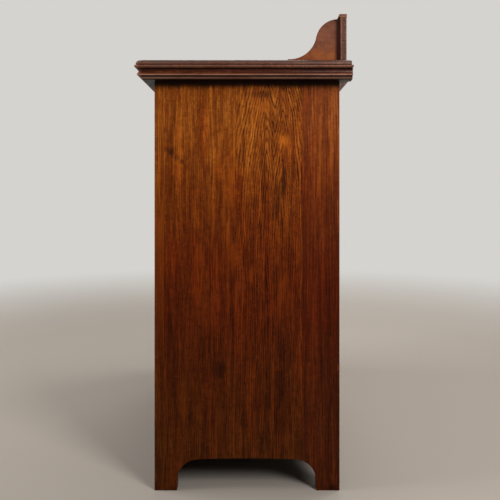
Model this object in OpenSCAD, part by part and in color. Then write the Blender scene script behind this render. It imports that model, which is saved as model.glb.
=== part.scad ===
// Oak side cupboard with a moulded top, a low gallery and a pair of fielded-panel doors.
// The front faces -Y, the floor is z = 0 and the origin is the middle of the footprint.

/* [Overall size] */
// Width of the top board over its moulded edges
top_w = 914; // [860:1:1000]
// Depth of the top board from its moulded front edge to its rear edge
top_d = 457; // [430:1:500]
// Height of the top surface above the floor
top_z = 917; // [880:1:960]

/* [Top board] */
// Thickness of the top board
top_t = 18.5; // [17:0.5:22]
// Overhang of the top beyond the front and the side faces
lip = 36; // [34:0.5:44]
// Overhang of the top beyond the back
rear_lip = 24.5; // [22:0.5:30]
// Width of the moulded edge outside the flat of the top
edge_w = 14.2; // [13.5:0.1:15]
// Radius of the ovolo on the upper half of the edge
ovolo_r = 10; // [9:0.5:11]
// Drop of the small step where the ovolo starts
step_d = 1; // [0.5:0.1:1.5]
// Distance of the quirk under the ovolo below the top surface
quirk_d = 11; // [9:0.5:11]
// Height of the narrow quirk between the ovolo and the roll
quirk_h = 1.2; // [0.8:0.1:2]
// Distance of the rear edge's upper part inside the roll
rear_step = 3.5; // [1:0.5:5]
// Rounding of the rear edge's upper arris
rear_round = 3; // [1:0.5:4]

/* [Cornice moulding] */
// Height of the moulding under the top
cornice_h = 22.5; // [21:0.5:26]
// Projection of the cove's upper lip from the body
cove_lip = 30.6; // [29.6:0.1:30.8]
// Radius of the cove
cove_r = 6; // [5.4:0.1:7]
// Depth of the cove behind its lip
cove_in = 2.4; // [1.5:0.1:3]
// Radius of the bead under the cove
bead_r = 2.6; // [2.5:0.1:2.8]
// Projection of the bottom fillet from the body
fillet_p = 26.8; // [26.8:0.1:27.6]
// Distance of the rear batten inside the rear edge of the top
batten_set = 5.5; // [3:0.5:9]

/* [Gallery] */
// Height of the gallery board without its cap
gallery_h = 97.5; // [97.5:0.5:125]
// Thickness of the gallery board
gallery_t = 12.5; // [10:0.5:16]
// Distance of the gallery board inside the rear edge of the top
gallery_set = 9.2; // [8:0.1:14]
// Thickness of the capping strip
cap_t = 6.5; // [5:0.5:9]
// Projection of the cap in front of the board
cap_p = 4.3; // [3:0.1:6]
// Thickness of the scrolled brackets
bracket_t = 14; // [10:0.5:18]
// Distance of a bracket's outer face inside the gallery's end
bracket_set = 12; // [6:1:30]
// Radius of the swell at the top of the bracket
swell_r = 48.4; // [44:0.2:48.6]
// Distance from the middle of the swell to the middle of the hollow
scroll_run = 105; // [98:1:112]
// Height of the bracket's toe
toe_h = 10.2; // [7:0.2:14]

/* [Side panels and feet] */
// Thickness of the side panels
side_t = 22; // [20:0.5:24]
// Width of the front foot seen from the side, with the face frame
front_foot = 48; // [46:1:60]
// Width of the rear foot seen from the side
rear_foot = 50; // [44:1:60]
// Height of the feet's upright inner edges
foot_rise = 20; // [10:1:24]
// Radius of the quarter rounds between the feet and the arch
foot_r = 46.5; // [36:0.5:48]
// Camber of the arch between its quarter rounds
camber = 2; // [1:0.5:4]

/* [Face frame] */
// Thickness of the face frame
frame_t = 20; // [18:0.5:22]
// Width of the frame's stiles
stile_w = 52; // [46:1:64]
// Height of the frieze rail under the top
frieze_h = 60.5; // [54:0.5:70]
// Height of the plinth's upper edge above the floor
plinth_z = 96; // [90:1:104]
// Gap under the ends of the plinth
plinth_gap = 3; // [2:0.5:6]
// Half span of the plinth's shallow arch
plinth_span = 290; // [220:5:300]
// Rise of the plinth's shallow arch
plinth_rise = 25; // [15:1:30]

/* [Inside] */
// Thickness of the bottom board
bottom_t = 18; // [16:0.5:18]
// Thickness of the shelf
shelf_t = 16; // [14:0.5:20]
// Height of the shelf's upper face above the floor
shelf_z = 486; // [440:2:540]
// Thickness of the back boards
back_t = 11; // [9:0.5:11.5]
// Number of upright back boards
back_count = 6; // [4:1:8]
// Depth of the housings in the side panels
housing = 8; // [6:0.5:10]
// Depth of the rails under the top
rail_d = 60; // [45:1:70]
// Thickness of the rails under the top
rail_t = 20; // [16:0.5:22]

/* [Doors] */
// Thickness of the door frames
door_t = 19.5; // [18:0.5:19.5]
// Width of the door stiles and the top rail
door_stile = 58; // [54:1:64]
// Width of the bottom rail of a door
door_foot = 74; // [66:1:90]
// Gap above and below a door
door_gap = 2; // [1.5:0.1:3]
// Gap between a door and the frame at its hinges
hinge_gap = 1.5; // [1.2:0.1:2]
// Gap between the two doors
meet_gap = 2; // [2:0.1:4]
// Depth of the groove that holds the panel
groove_d = 8; // [6:0.5:10]
// Thickness of the panel's edge in the groove
tongue_t = 6.8; // [6:0.1:7]
// Thickness of the raised field
field_t = 11; // [9.5:0.1:11.4]
// Width of the bevel round the field
bevel_w = 34; // [24:1:44]
// Width of the moulding planted round the panel
panel_bead_w = 9; // [7:0.5:9.5]
// Thickness of the moulding planted round the panel
panel_bead_t = 5.5; // [4:0.1:6]
// Length of the tenons
tenon = 28; // [20:1:32]
// Thickness of the tenons
tenon_t = 7; // [6:0.5:8]

/* [Hinges] */
// Height of a butt hinge
hinge_h = 64; // [50:1:76]
// Distance of a hinge's middle from the door's end
hinge_in = 110; // [90:1:140]
// Radius of the hinge knuckles
knuckle_r = 3.2; // [3:0.1:3.2]
// Radius of the hinge pin
pin_r = 1.6; // [1.4:0.1:1.8]
// Thickness of the hinge leaves
leaf_t = 1.6; // [1.2:0.1:1.8]

/* [Handles and lock] */
// Distance of the handles and the key from the doors' meeting line
pull_x = 30; // [28:1:34]
// Height of the handles' pivots above the floor
pull_z = 540; // [520:1:600]
// Radius of the round handle plate
rose_r = 17; // [15:0.5:20]
// Length of the hanging drop below its pivot
drop_l = 46; // [40:1:56]
// Height of the key above the floor
key_z = 455; // [400:1:460]
// Throw of the lock's bolt
throw = 10; // [8:0.5:10]

/* [Barrel bolts] */
// Radius of the sliding rods
rod_r = 4; // [3.5:0.1:4.5]
// Length of the sliding rods
rod_l = 102; // [98:1:110]
// Travel of the rods
rod_throw = 16; // [12:1:16]

/* [Hidden] */

$fn = 96;
// Extra length that lets a cutter run past the face it opens
over = 1;
right = 1;
left = -1;

oak = [0.40, 0.20, 0.07];
oak_dark = [0.30, 0.15, 0.06];
deal = [0.60, 0.43, 0.26];
brass = [0.70, 0.54, 0.27];
iron = [0.22, 0.21, 0.20];

// Faces of the body
body_x = top_w / 2 - lip;
inner_x = body_x - side_t;
front_y = -top_d / 2 + lip;
frame_y = front_y + frame_t;
rear_y = top_d / 2 - rear_lip;
back_y = rear_y - back_t;
under_z = top_z - top_t;
board_z = plinth_z - bottom_t;

// Moulded edge of the top
roll_y = -quirk_d - quirk_h;
roll_r = (top_t + roll_y) / 2;
quirk_in = 6;
ovolo_p = lip - 2.6 - ovolo_r;
flat_p = lip - edge_w;
// Cornice
cove_y = -5.8;
bead_x = fillet_p + 2;
bead_y = -13;
groove_h = 2.2;
groove_in = 2;
slant_y = -18.4;
slant_in = 5.3;
cornice_end = top_d / 2 - 1;
batten_end = top_d / 2 - batten_set;

// Gallery
gallery_x = body_x - 1;
gallery_back_y = top_d / 2 - gallery_set;
gallery_y = gallery_back_y - gallery_t;
swell_u = 3.8;
swell_rest = swell_r - toe_h;
hollow_r = (pow(swell_rest, 2) + pow(scroll_run, 2) - pow(swell_r, 2)) / (2 * (swell_r + swell_rest));
hollow_u = swell_u + scroll_run;
hollow_h = toe_h + hollow_r;
turn_share = swell_r / (swell_r + hollow_r);
turn_u = swell_u + scroll_run * turn_share;
turn_h = swell_r + (hollow_h - swell_r) * turn_share;

// Arch in a side panel
arch_y0 = front_y + front_foot;
arch_y1 = rear_y - rear_foot;
arch_run = arch_y1 - arch_y0 - 2 * foot_r;
arch_z = foot_rise + foot_r;
camber_r = pow(arch_run / 2, 2) / (2 * camber) + camber / 2;

// Doors
opening_x = body_x - stile_w;
frieze_z = under_z - frieze_h;
door_z0 = plinth_z + door_gap;
door_z1 = frieze_z - door_gap;
door_h = door_z1 - door_z0;
door_x0 = meet_gap / 2;
door_x1 = opening_x - hinge_gap;
door_back = front_y + door_t;
panel_x0 = door_x0 + door_stile;
panel_x1 = door_x1 - door_stile;
panel_z0 = door_z0 + door_foot;
panel_z1 = door_z1 - door_stile;
panel_w = panel_x1 - panel_x0;
panel_h = panel_z1 - panel_z0;
// Play of the panel in its groove
panel_play = 1;
slot_t = tongue_t + 0.2;
slot_y = front_y + 6;
panel_back = slot_y + slot_t - 0.1;
bead_face = panel_back - tongue_t;
// Flat margin of the panel that carries the planted moulding
margin = panel_bead_w + 1;
tenon_y = front_y + 6;

// Hinges
pin_x = opening_x - hinge_gap / 2;
pin_y = front_y - knuckle_r - 0.2;
leaf_d = 17.5;
knuckle_count = 5;
knuckle_gap = 0.3;
pin_play = 0.05;
hinge_z = [door_z0 + hinge_in, door_z1 - hinge_in];

// Handle
pivot_y = front_y - 9;
pivot_r = 1.5;
eye_t = 3;
cheek_gap = 3.6;

// Lock
key_x = 26;
shank_r = 2.4;
bit_reach = 9;
bit_t = 2.5;
lock_x0 = 3;
lock_w = 52;
lock_low = 12;
lock_high = 20;
lock_d = 12.5;
lock_wall = 1.5;
bar_low = 6.5;
bar_h = 10;
bar_t = 5;
bar_y = door_back + 1.5;
bar_l = 44;
notch_h = 3.2;

// Barrel bolts
rod_x = -pull_x;
rod_y = door_back + 8;
rod_play = 0.08;
case_l = 86;
case_in = 10;
guide_l = 12;
// Distance of a withdrawn rod's tip inside the door's end
tip_in = 3;

// A flat outline in the Y-Z plane, pushed along X from x0
module along_x(x0, length) {
    translate([x0, 0, 0]) rotate([90, 0, 90]) linear_extrude(length) children();
}

// A flat outline in the X-Z plane, pushed along Y from y0
module along_y(y0, length) {
    translate([0, y0 + length, 0]) rotate([90, 0, 0]) linear_extrude(length) children();
}

// The right-hand piece, or its mirror image on the left
module on_side(side) {
    mirror([side < 0 ? 1 : 0, 0, 0]) children();
}

// A block between two corners
module block(low, high) {
    translate(low) cube(high - low);
}

// Edge of the top: x is the distance outside the body, y = 0 is the top surface
module top_edge(run) {
    translate([-run, roll_y]) square([run + flat_p, -roll_y]);
    intersection() {
        translate([ovolo_p, -step_d - ovolo_r]) circle(r = ovolo_r);
        translate([0, -quirk_d]) square([lip, quirk_d]);
    }
    translate([-run, roll_y]) square([run + lip - quirk_in, quirk_h]);
    edge_roll(run, lip);
}

// Lower part of the edge, which ends in a full roll
module edge_roll(run, reach) {
    translate([-run, -top_t]) square([run + reach - roll_r, top_t + roll_y]);
    translate([reach - roll_r, roll_y - roll_r]) circle(r = roll_r);
}

// Rear edge of the top: a rounded upper part set in over the roll
module rear_edge(run) {
    upper_p = rear_lip - rear_step;
    translate([-run, roll_y]) square([run + upper_p - rear_round, -roll_y]);
    translate([0, roll_y]) square([upper_p, -roll_y - rear_round]);
    translate([upper_p - rear_round, -rear_round]) circle(r = rear_round);
    edge_roll(run, rear_lip);
}

// The two prisms cross, so the moulded edges meet in true mitres at the front corners
module top_board() {
    color(oak) intersection() {
        translate([0, 0, top_z]) along_x(-top_w / 2, top_w) union() {
            translate([front_y, 0]) mirror([1, 0]) top_edge(top_d / 2);
            translate([rear_y, 0]) rear_edge(top_d / 2);
        }
        translate([0, 0, top_z]) along_y(-top_d / 2, top_d) for (side = [0, 1])
            mirror([side, 0]) translate([body_x, 0]) top_edge(body_x);
    }
}

// Cove, bead, groove and slanted fillet: x is the distance outside the body, y = 0 is the strip's top
module cornice_section() {
    cove_end = bead_y + 0.6 * bead_r;
    groove_y = bead_y - bead_r + 0.3;
    difference() {
        union() {
            polygon([
                [0, 0], [0, -cornice_h], [fillet_p - slant_in, -cornice_h], [fillet_p, slant_y],
                [fillet_p, cove_end], [cove_lip, cove_end], [cove_lip, 0]
            ]);
            translate([bead_x, bead_y]) circle(r = bead_r);
        }
        translate([cove_lip - cove_in + cove_r, cove_y]) circle(r = cove_r);
        translate([fillet_p - groove_in, groove_y - groove_h]) square([groove_in + 3 * bead_r, groove_h]);
    }
}

// Plan of the front corner that the strips are mitred to
module mitre_prism(points) {
    translate([0, 0, under_z - cornice_h - over]) linear_extrude(cornice_h + 2 * over) polygon(points);
}

module cornice_front() {
    out_x = body_x + lip;
    out_y = front_y - lip;
    color(oak_dark) intersection() {
        translate([0, 0, under_z]) along_x(-out_x, 2 * out_x)
            translate([front_y, 0]) mirror([1, 0]) cornice_section();
        mitre_prism([[-body_x, front_y], [body_x, front_y], [out_x, out_y], [-out_x, out_y]]);
    }
}

module cornice_side(side) {
    out_x = body_x + lip;
    out_y = front_y - lip;
    color(oak_dark) on_side(side) intersection() {
        translate([0, 0, under_z]) along_y(out_y, cornice_end - out_y)
            translate([body_x, 0]) cornice_section();
        mitre_prism([[body_x, front_y], [out_x, out_y], [out_x, cornice_end], [body_x, cornice_end]]);
    }
}

module rear_batten() {
    color(oak_dark) block([-body_x, rear_y, under_z - cornice_h], [body_x, batten_end, under_z]);
}

// Opening under a side panel: upright foot edges, quarter rounds and a slight camber
module arch_outline() {
    translate([arch_y0, -over]) square([arch_y1 - arch_y0, foot_rise + over]);
    for (y = [arch_y0 + foot_r, arch_y1 - foot_r])
        translate([y, foot_rise]) circle(r = foot_r);
    translate([arch_y0 + foot_r, 0]) square([arch_run, arch_z]);
    intersection() {
        translate([(arch_y0 + arch_y1) / 2, arch_z + camber - camber_r]) circle(r = camber_r, $fn = 256);
        translate([arch_y0 + foot_r, arch_z - over]) square([arch_run, camber + 2 * over]);
    }
}

// Boards and rails that are housed in the side panels
module housed_boards() {
    block([-inner_x - housing, frame_y, board_z], [inner_x + housing, back_y, plinth_z]);
    block([-inner_x - housing, frame_y, under_z - rail_t], [inner_x + housing, frame_y + rail_d, under_z]);
    block([-inner_x - housing, back_y - rail_d, under_z - rail_t], [inner_x + housing, back_y, under_z]);
}

module side_panel(side) {
    color(oak) on_side(side) difference() {
        along_x(inner_x, side_t) difference() {
            translate([frame_y, 0]) square([rear_y - frame_y, under_z]);
            arch_outline();
        }
        housed_boards();
        block([inner_x - over, back_y, -over], [inner_x + back_t, rear_y + over, under_z + over]);
    }
}

// Tenons on the right-hand ends of the face frame's rails
module frame_tenons() {
    block([opening_x, tenon_y, frieze_z + 9], [opening_x + tenon, tenon_y + tenon_t, under_z - 9]);
    block([opening_x, tenon_y, plinth_gap + 18], [opening_x + tenon, tenon_y + tenon_t, plinth_z - 12]);
}

module face_stile(side) {
    color(oak) on_side(side) difference() {
        block([opening_x, front_y, 0], [body_x, frame_y, under_z]);
        frame_tenons();
        for (z = hinge_z)
            leaf_bed(z, opening_x - over, opening_x + leaf_t);
    }
}

module frieze_rail() {
    color(oak) {
        block([-opening_x, front_y, frieze_z], [opening_x, frame_y, under_z]);
        for (side = [left, right])
            on_side(side) intersection() {
                frame_tenons();
                block([0, front_y, frieze_z], [body_x, frame_y, under_z]);
            }
    }
}

module plinth_rail() {
    arch_r = (pow(plinth_span, 2) + pow(plinth_rise, 2)) / (2 * plinth_rise);
    color(oak) {
        difference() {
            block([-opening_x, front_y, plinth_gap], [opening_x, frame_y, plinth_z]);
            along_y(front_y - over, frame_t + 2 * over)
                translate([0, plinth_gap + plinth_rise - arch_r]) circle(r = arch_r, $fn = 256);
        }
        for (side = [left, right])
            on_side(side) intersection() {
                frame_tenons();
                block([0, front_y, 0], [body_x, frame_y, plinth_z]);
            }
    }
}

module bottom_board() {
    color(deal) difference() {
        block([-inner_x - housing, frame_y, board_z], [inner_x + housing, back_y, plinth_z]);
        keeper_plate();
        translate([rod_x, rod_y, board_z - over]) cylinder(r = rod_r + 0.4, h = bottom_t + 2 * over);
    }
}

module shelf() {
    nose = shelf_t / 2;
    color(deal) along_x(-inner_x + 0.5, 2 * inner_x - 1) union() {
        translate([frame_y + 32 + nose, shelf_z - shelf_t])
            square([back_y - frame_y - 32 - nose, shelf_t]);
        translate([frame_y + 32 + nose, shelf_z - nose]) circle(r = nose);
    }
}

// Batten under the shelf's end with a bevelled front end
module shelf_bearer(side) {
    bearer_h = 25;
    bearer_t = 20;
    nose = 14;
    z1 = shelf_z - shelf_t;
    y0 = frame_y + 46;
    z0 = z1 - bearer_h;
    color(deal) on_side(side) along_x(inner_x - bearer_t, bearer_t)
        polygon([[y0, z1], [back_y, z1], [back_y, z0], [y0 + nose, z0], [y0, z0 + nose]]);
}

// Matched boards with a tongue on one edge, a groove on the other and a narrow open joint
module back_boards() {
    joint = 0.6;
    tongue = 5;
    half = inner_x + back_t - 0.3;
    pitch = 2 * half / back_count;
    color(deal) for (i = [0 : back_count - 1])
        translate([-half + i * pitch, back_y, board_z]) linear_extrude(under_z - board_z) difference() {
            union() {
                square([pitch - (i < back_count - 1 ? joint : 0), back_t]);
                if (i < back_count - 1)
                    translate([pitch - 2 * joint, back_t / 3]) square([tongue + joint, back_t / 3]);
            }
            if (i > 0)
                translate([-over, back_t / 3 - 0.3]) square([tongue + over, back_t / 3 + 0.6]);
        }
}

module top_rail(y0) {
    color(deal) block(
        [-inner_x - housing, y0, under_z - rail_t], [inner_x + housing, y0 + rail_d, under_z]
    );
}

// Scrolled outline: u runs forward from the gallery board and h up from the top surface
module bracket_outline() {
    difference() {
        polygon([
            [0, 0], [hollow_u + 4, 0], [hollow_u + 4, toe_h], [hollow_u, toe_h],
            [hollow_u, hollow_h], [turn_u, turn_h], [0, turn_h]
        ]);
        translate([hollow_u, hollow_h]) circle(r = hollow_r);
    }
    intersection() {
        translate([swell_u, swell_r]) circle(r = swell_r);
        square([turn_u + over, 2 * swell_r]);
    }
    square([swell_u, 2 * swell_r]);
}

module gallery_bracket(side) {
    outer = gallery_x - bracket_set;
    color(oak) on_side(side) translate([0, gallery_y, top_z]) along_x(outer - bracket_t, bracket_t)
        mirror([1, 0]) bracket_outline();
}

module gallery_back() {
    color(oak) block([-gallery_x, gallery_y, top_z], [gallery_x, gallery_back_y, top_z + gallery_h]);
}

// Thin strip with a rounded nose on the gallery board
module gallery_cap() {
    nose = cap_t / 2;
    color(oak_dark) translate([0, 0, top_z + gallery_h]) along_x(-gallery_x - 1, 2 * gallery_x + 2) union() {
        translate([gallery_y - cap_p + nose, 0]) square([gallery_t + cap_p + 0.5 - nose, cap_t]);
        translate([gallery_y - cap_p + nose, nose]) circle(r = nose);
    }
}

// Three-cornered blocks behind the plinth: upright ones in the corners, level ones under the board
module glue_blocks() {
    leg = front_foot - frame_t - 2;
    color(deal) {
        for (side = [left, right])
            on_side(side) translate([inner_x, frame_y, 12]) linear_extrude(board_z - 12)
                polygon([[0, 0], [-leg, 0], [0, leg]]);
        for (x = [-220, 0, 220])
            along_x(x - 35, 70) translate([frame_y, board_z]) polygon([[0, 0], [leg, 0], [0, -leg]]);
    }
}

// Strips behind the frieze that the doors close against
module door_stops() {
    color(deal) for (side = [left, right])
        on_side(side) block([60, frame_y, frieze_z - 12], [300, frame_y + 12, frieze_z + 10]);
}

// Bed cut in an upright edge for a hinge leaf
module leaf_bed(z, x0, x1) {
    block([x0, front_y - over, z - hinge_h / 2], [x1, front_y + leaf_d, z + hinge_h / 2]);
}

// One knuckle of a hinge, counted from its lower end
module knuckle(i, radius, slack) {
    pitch = hinge_h / knuckle_count;
    translate([0, 0, i * pitch - slack / 2 - hinge_h / 2]) cylinder(r = radius, h = pitch + slack);
}

// A leaf with every second knuckle: first is 0 for the frame's leaf and 1 for the door's
module hinge_leaf(first) {
    toward = first == 0 ? 1 : -1;
    x0 = toward * hinge_gap / 2;
    x1 = x0 + toward * leaf_t;
    difference() {
        union() {
            block(
                [min(x0, x1), 0, -hinge_h / 2], [max(x0, x1), leaf_d + front_y - pin_y, hinge_h / 2]
            );
            for (i = [first : 2 : knuckle_count - 1])
                knuckle(i, knuckle_r, -knuckle_gap);
        }
        for (i = [1 - first : 2 : knuckle_count - 1])
            knuckle(i, knuckle_r + 0.35, knuckle_gap);
        cylinder(r = pin_r + pin_play, h = hinge_h + 2 * over, center = true);
    }
}

module hinge_leaves(side, first) {
    color(brass) on_side(side) for (z = hinge_z)
        translate([pin_x, pin_y, z]) hinge_leaf(first);
}

// Pins with a small ball at each end
module hinge_pins(side) {
    ball_r = 2.3;
    color(brass) on_side(side) for (z = hinge_z)
        translate([pin_x, pin_y, z]) {
            cylinder(r = pin_r, h = hinge_h + 2, center = true);
            for (end = [-1, 1])
                translate([0, 0, end * (hinge_h / 2 + 2)]) sphere(r = ball_r);
        }
}

// Groove round the panel opening
module panel_slot() {
    block(
        [panel_x0 - groove_d, slot_y, panel_z0 - groove_d],
        [panel_x1 + groove_d, slot_y + slot_t, panel_z1 + groove_d]
    );
}

// Tenons of a door's rails, at both ends
module door_tenons() {
    for (z = [[door_z0 + 14, panel_z0 - groove_d - 4], [panel_z1 + groove_d + 4, door_z1 - 12]])
        block([panel_x0 - tenon, tenon_y, z[0]], [panel_x1 + tenon, tenon_y + tenon_t, z[1]]);
}

module door_hinge_stile(side) {
    color(oak) on_side(side) difference() {
        block([panel_x1, front_y, door_z0], [door_x1, door_back, door_z1]);
        panel_slot();
        door_tenons();
        for (z = hinge_z)
            leaf_bed(z, door_x1 - leaf_t, door_x1 + over);
    }
}

module keyhole(y0, depth) {
    along_y(y0, depth) translate([key_x, key_z]) union() {
        circle(r = shank_r + 0.8);
        translate([-bit_t / 2 - 0.4, -bit_reach - 0.8]) square([bit_t + 0.8, bit_reach + 0.8]);
    }
}

// The meeting stile has a scratched bead along its edge, and on the right a keyhole
module door_meeting_stile(side) {
    bead_x = door_x0 + 8;
    color(oak) on_side(side) difference() {
        block([door_x0, front_y, door_z0], [panel_x0, door_back, door_z1]);
        panel_slot();
        door_tenons();
        translate([bead_x, front_y, door_z0 - over]) cylinder(r = 1.2, h = door_h + 2 * over);
        if (side == right)
            keyhole(front_y - over, door_t + 2 * over);
    }
}

module door_rail(side, z0, z1) {
    color(oak) on_side(side) {
        difference() {
            block([panel_x0, front_y, z0], [panel_x1, door_back, z1]);
            panel_slot();
        }
        intersection() {
            door_tenons();
            block([0, front_y, z0], [body_x, door_back, z1]);
        }
    }
}

// Section across the raised panel: [across, outward from the back]
function raised_section(size) = let (
    half = size / 2,
    flat = half - groove_d - margin + panel_play,
    field = flat - bevel_w
) [
    [-half, 0], [half, 0], [half, tongue_t], [flat, tongue_t], [field, field_t - 1.2], [field, field_t],
    [-field, field_t], [-field, field_t - 1.2], [-flat, tongue_t], [-half, tongue_t]
];

// Crossing the two sections mitres the bevels at the field's corners
module door_panel(side) {
    wide = panel_w + 2 * (groove_d - panel_play);
    tall = panel_h + 2 * (groove_d - panel_play);
    color(oak) on_side(side) translate([(panel_x0 + panel_x1) / 2, panel_back, (panel_z0 + panel_z1) / 2])
        intersection() {
            translate([0, 0, -tall / 2]) linear_extrude(tall)
                polygon([for (p = raised_section(wide)) [p[0], -p[1]]]);
            along_x(-wide / 2, wide) polygon([for (p = raised_section(tall)) [-p[1], p[0]]]);
        }
}

// One mitred strip of quarter-round moulding, lying along X with its back at y = 0
module bead_strip(length) {
    round_r = panel_bead_t;
    flat = panel_bead_w - round_r;
    mitre_gap = 0.1;
    intersection() {
        along_x(0, length) union() {
            square([flat, panel_bead_t]);
            intersection() {
                translate([flat, 0]) circle(r = round_r);
                square([panel_bead_w, panel_bead_t]);
            }
        }
        linear_extrude(panel_bead_t) polygon([
            [mitre_gap, 0], [length - mitre_gap, 0],
            [length - panel_bead_w - mitre_gap, panel_bead_w], [panel_bead_w + mitre_gap, panel_bead_w]
        ]);
    }
}

module door_bead(side) {
    color(oak_dark) on_side(side) translate([panel_x0, bead_face, panel_z0]) rotate([90, 0, 0]) {
        bead_strip(panel_w);
        translate([panel_w, 0, 0]) rotate([0, 0, 90]) bead_strip(panel_h);
        translate([panel_w, panel_h, 0]) rotate([0, 0, 180]) bead_strip(panel_w);
        translate([0, panel_h, 0]) rotate([0, 0, 270]) bead_strip(panel_h);
    }
}

// Turned rose with two cheeks and the pin that the drop hangs from
module handle_plate(side) {
    cheek = 2.2;
    cheek_r = 4.6;
    color(brass) on_side(side) {
        translate([pull_x, front_y, pull_z]) rotate([90, 0, 0]) rotate_extrude() union() {
            square([rose_r - 1.2, 2.2]);
            translate([rose_r - 1.2, 1]) circle(r = 1);
            square([rose_r - 4, 3]);
            square([7.4, 4.2]);
        }
        for (end = [-1, 1])
            translate([pull_x + end * (cheek_gap + cheek) / 2 - cheek / 2, 0, pull_z]) rotate([90, 0, 90])
                linear_extrude(cheek) union() {
                    translate([pivot_y, 0]) circle(r = cheek_r);
                    translate([pivot_y, -cheek_r]) square([front_y - pivot_y, 2 * cheek_r]);
                }
        translate([pull_x - cheek_gap / 2 - cheek, pivot_y, pull_z]) rotate([0, 90, 0])
            cylinder(r = pivot_r, h = cheek_gap + 2 * cheek);
    }
}

// Half outline of the drop: [radius, height below the pivot], a thin neck that swells to a pear
function pear_r(s) = 2 + 5.2 * pow(sin(180 * pow(s, 1.6)), 0.8) * (1 - 0.15 * s);

module handle_drop(side) {
    eye_r = 3.9;
    neck = 3;
    steps = 24;
    foot = drop_l - neck;
    color(brass) on_side(side) translate([pull_x, pivot_y, pull_z]) difference() {
        union() {
            rotate([0, 90, 0]) cylinder(r = eye_r, h = eye_t, center = true);
            translate([0, 0, -drop_l]) rotate_extrude($fn = 48) polygon(concat(
                [[0, foot]],
                [for (i = [0 : steps]) [pear_r(i / steps) - (i == steps ? 0.9 : 0), foot * (1 - i / steps)]],
                [[0, 0]]
            ));
        }
        rotate([0, 90, 0]) cylinder(r = pivot_r + 0.06, h = 3 * eye_t, center = true);
        for (end = [-1, 1])
            translate([end * (eye_t / 2 + 5), 0, 0]) cube([10, 12, 12], center = true);
    }
}

// Tray screwed to the inside of the right-hand door, open towards the wood
module lock_case() {
    color(brass) difference() {
        block(
            [lock_x0, door_back, key_z - lock_low], [lock_x0 + lock_w, door_back + lock_d, key_z + lock_high]
        );
        block(
            [lock_x0 + lock_wall, door_back - over, key_z - lock_low + lock_wall],
            [lock_x0 + lock_w - lock_wall, door_back + lock_d - lock_wall, key_z + lock_high - lock_wall]
        );
        block(
            [lock_x0 - over, bar_y - 0.2, key_z + bar_low - 0.2],
            [lock_x0 + lock_wall + over, bar_y + bar_t + 0.2, key_z + bar_low + bar_h + 0.2]
        );
    }
}

// Flat bar with the notch that the key's bit works in as it passes over the top of its turn
module lock_bolt() {
    sweep = sqrt(pow(bit_reach, 2) - pow(bar_low, 2));
    turned = asin(sweep / bit_reach) / 360;
    slack = bit_t / 2 + 1;
    notch_x0 = key_x - sweep + throw * (0.5 + turned) - slack;
    notch_x1 = key_x + sweep + throw * (0.5 - turned) + slack;
    color(brass) difference() {
        block(
            [lock_x0 + 0.5, bar_y, key_z + bar_low], [lock_x0 + bar_l, bar_y + bar_t, key_z + bar_low + bar_h]
        );
        block(
            [notch_x0, bar_y - over, key_z + bar_low - over],
            [notch_x1, bar_y + bar_t + over, key_z + bar_low + notch_h]
        );
    }
}

// Oval plate with a keyhole
module escutcheon() {
    plate_t = 1.5;
    half = 9;
    color(brass) difference() {
        along_y(front_y - plate_t, plate_t) translate([key_x, key_z - 2.5]) union() {
            for (end = [-1, 1])
                translate([0, end * 8]) circle(r = half);
            translate([-half, -8]) square([2 * half, 16]);
        }
        keyhole(front_y - 2 * plate_t, 3 * plate_t);
    }
}

// Key with an open oval bow, a collared shank and a bit that hangs down at rest
module key() {
    bow_y = front_y - 22;
    bow_r = 7.5;
    bow_rise = 4.5;
    wire = 2.8;
    tip_y = door_back + 9;
    shank_end = bow_y + sqrt(pow(bow_r - wire / 2, 2) - pow(bow_rise, 2));
    color(iron) translate([key_x, 0, key_z]) {
        along_x(-wire / 2, wire) difference() {
            for (z = [-bow_rise, bow_rise])
                translate([bow_y, z]) circle(r = bow_r);
            for (z = [-bow_rise, bow_rise])
                translate([bow_y, z]) circle(r = bow_r - wire);
        }
        translate([0, tip_y, 0]) rotate([90, 0, 0]) cylinder(r = shank_r, h = tip_y - shank_end);
        translate([0, front_y - 7, 0]) rotate([90, 0, 0]) cylinder(r = 3.6, h = 2.5);
        block([-bit_t / 2, bar_y - 0.3, -bit_reach], [bit_t / 2, bar_y + bar_t + 0.6, 0]);
    }
}

// Box staple on the left-hand door that the lock's bolt enters
module lock_staple() {
    z0 = key_z + bar_low;
    color(brass) difference() {
        union() {
            block([-19, door_back, z0 - 2.5], [-lock_x0, door_back + 9, z0 + bar_h + 2.5]);
            block([-19, door_back, z0 - 10], [-lock_x0, door_back + 2, z0 + bar_h + 10]);
        }
        block([-17, bar_y - 0.5, z0 - 0.5], [0, bar_y + bar_t + 0.5, z0 + bar_h + 0.5]);
    }
}

// Plate with two bored guides, for the end of the left-hand door at z_end
module bolt_case(z_end, up) {
    plate_t = 2;
    half = 13;
    guide = 8;
    color(brass) translate([rod_x, 0, z_end]) mirror([0, 0, up > 0 ? 0 : 1]) difference() {
        union() {
            block([-half, door_back, -case_in - case_l], [half, door_back + plate_t, -case_in]);
            for (z = [-case_in - 4 - guide_l, -case_in - case_l + 4])
                translate([0, rod_y, z]) linear_extrude(guide_l) union() {
                    circle(r = rod_r + 2.5);
                    translate([-guide, door_back + plate_t - rod_y - 0.5])
                        square([2 * guide, rod_y - door_back - plate_t - 1]);
                }
        }
        translate([0, rod_y, -case_in - case_l - over]) cylinder(r = rod_r + rod_play, h = case_l + 2 * over);
    }
}

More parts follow.
